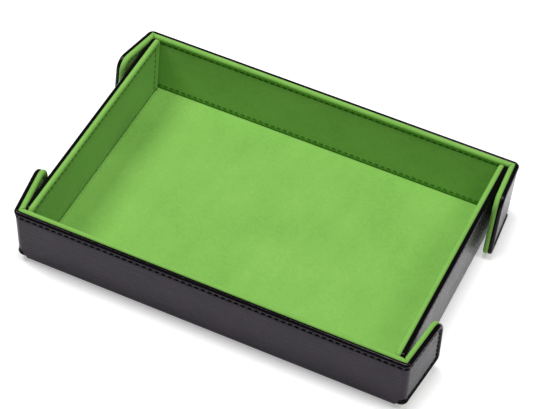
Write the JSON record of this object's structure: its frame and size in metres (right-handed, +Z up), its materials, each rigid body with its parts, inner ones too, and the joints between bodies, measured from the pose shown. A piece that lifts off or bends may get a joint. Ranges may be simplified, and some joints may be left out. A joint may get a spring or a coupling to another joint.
{
  "type": "folding dice tray",
  "caption": "Shallow rectangular dice tray of lined leather panels, with fold-out walls and magnetic corner flaps that hold it up.",
  "frame": {"origin": "centre of the flat underside of the base", "axes": "+X along the tray towards the right wall, +Y towards the back wall, +Z up out of the tray"},
  "size_m": [0.2699, 0.1829, 0.0484],
  "materials": {
    "cover_leather": "smooth black artificial leather, semi-gloss with fine grain",
    "microsuede_lining": "lime green microsuede with a short mottled nap",
    "stiffener_board": "grey bookbinding board",
    "sewing_thread": "twisted black polyester thread",
    "magnet": "nickel plated disc"
  },
  "bodies": {
    "base": {"base_cover": "cover_leather", "base_lining": "microsuede_lining", "base_board": "stiffener_board", "front_wall_foot_leather": "cover_leather", "front_wall_foot_pleat": "microsuede_lining", "back_wall_foot_leather": "cover_leather", "back_wall_foot_pleat": "microsuede_lining", "left_wall_foot_leather": "cover_leather", "left_wall_foot_pleat": "microsuede_lining", "right_wall_foot_leather": "cover_leather", "right_wall_foot_pleat": "microsuede_lining"},
    "front_wall": {"front_wall_cover": "cover_leather", "front_wall_lining": "microsuede_lining", "front_wall_board": "stiffener_board", "front_wall_thread": "sewing_thread", "front_left_corner_leather": "cover_leather", "front_left_corner_pleat": "microsuede_lining", "front_right_corner_leather": "cover_leather", "front_right_corner_pleat": "microsuede_lining"},
    "back_wall": {"back_wall_cover": "cover_leather", "back_wall_lining": "microsuede_lining", "back_wall_board": "stiffener_board", "back_wall_thread": "sewing_thread", "back_left_corner_leather": "cover_leather", "back_left_corner_pleat": "microsuede_lining", "back_right_corner_leather": "cover_leather", "back_right_corner_pleat": "microsuede_lining"},
    "left_wall": {"left_wall_cover": "cover_leather", "left_wall_lining": "microsuede_lining", "left_wall_board": "stiffener_board", "left_wall_thread": "sewing_thread", "left_wall_front_magnet": "magnet", "left_wall_back_magnet": "magnet"},
    "right_wall": {"right_wall_cover": "cover_leather", "right_wall_lining": "microsuede_lining", "right_wall_board": "stiffener_board", "right_wall_thread": "sewing_thread", "right_wall_front_magnet": "magnet", "right_wall_back_magnet": "magnet"},
    "front_left_flap": {"front_left_flap_cover": "cover_leather", "front_left_flap_lining": "microsuede_lining", "front_left_flap_board": "stiffener_board", "front_left_flap_thread": "sewing_thread", "front_left_flap_magnet": "magnet"},
    "front_right_flap": {"front_right_flap_cover": "cover_leather", "front_right_flap_lining": "microsuede_lining", "front_right_flap_board": "stiffener_board", "front_right_flap_thread": "sewing_thread", "front_right_flap_magnet": "magnet"},
    "back_left_flap": {"back_left_flap_cover": "cover_leather", "back_left_flap_lining": "microsuede_lining", "back_left_flap_board": "stiffener_board", "back_left_flap_thread": "sewing_thread", "back_left_flap_magnet": "magnet"},
    "back_right_flap": {"back_right_flap_cover": "cover_leather", "back_right_flap_lining": "microsuede_lining", "back_right_flap_board": "stiffener_board", "back_right_flap_thread": "sewing_thread", "back_right_flap_magnet": "magnet"}
  },
  "joints": [
    {"name": "front_wall_fold", "type": "hinge", "parent": "base", "child": "front_wall", "pos_m": [0, -0.08625, 0.00075], "axis": [1, 0, 0], "range_deg": [0, 86], "deforming": ["front_wall_foot_leather", "front_wall_foot_pleat"]},
    {"name": "back_wall_fold", "type": "hinge", "parent": "base", "child": "back_wall", "pos_m": [0, 0.08625, 0.00075], "axis": [-1, 0, 0], "range_deg": [0, 82.2], "deforming": ["back_wall_foot_leather", "back_wall_foot_pleat"]},
    {"name": "left_wall_fold", "type": "hinge", "parent": "base", "child": "left_wall", "pos_m": [-0.12325, 0, 0.00075], "axis": [0, -1, 0], "range_deg": [-14, 0], "deforming": ["left_wall_foot_leather", "left_wall_foot_pleat"]},
    {"name": "right_wall_fold", "type": "hinge", "parent": "base", "child": "right_wall", "pos_m": [0.12325, 0, 0.00075], "axis": [0, 1, 0], "range_deg": [-14, 0], "deforming": ["right_wall_foot_leather", "right_wall_foot_pleat"]},
    {"name": "front_left_flap_fold", "type": "hinge", "parent": "front_wall", "child": "front_left_flap", "pos_m": [-0.12925, -0.0862, 0], "axis": [0, -0.0698, 0.9976], "range_deg": [-1, 83.5], "deforming": ["front_left_corner_leather", "front_left_corner_pleat"]},
    {"name": "front_right_flap_fold", "type": "hinge", "parent": "front_wall", "child": "front_right_flap", "pos_m": [0.12925, -0.0862, 0], "axis": [0, 0.0698, -0.9976], "range_deg": [-6, 82], "deforming": ["front_right_corner_leather", "front_right_corner_pleat"]},
    {"name": "back_left_flap_fold", "type": "hinge", "parent": "back_wall", "child": "back_left_flap", "pos_m": [-0.12925, 0.08615, 0.00001], "axis": [0, -0.1357, -0.9907], "range_deg": [-1, 84], "deforming": ["back_left_corner_leather", "back_left_corner_pleat"]},
    {"name": "back_right_flap_fold", "type": "hinge", "parent": "back_wall", "child": "back_right_flap", "pos_m": [0.12925, 0.08615, 0.00001], "axis": [0, 0.1357, 0.9907], "range_deg": [-2.5, 85.5], "deforming": ["back_right_corner_leather", "back_right_corner_pleat"]}
  ]
}
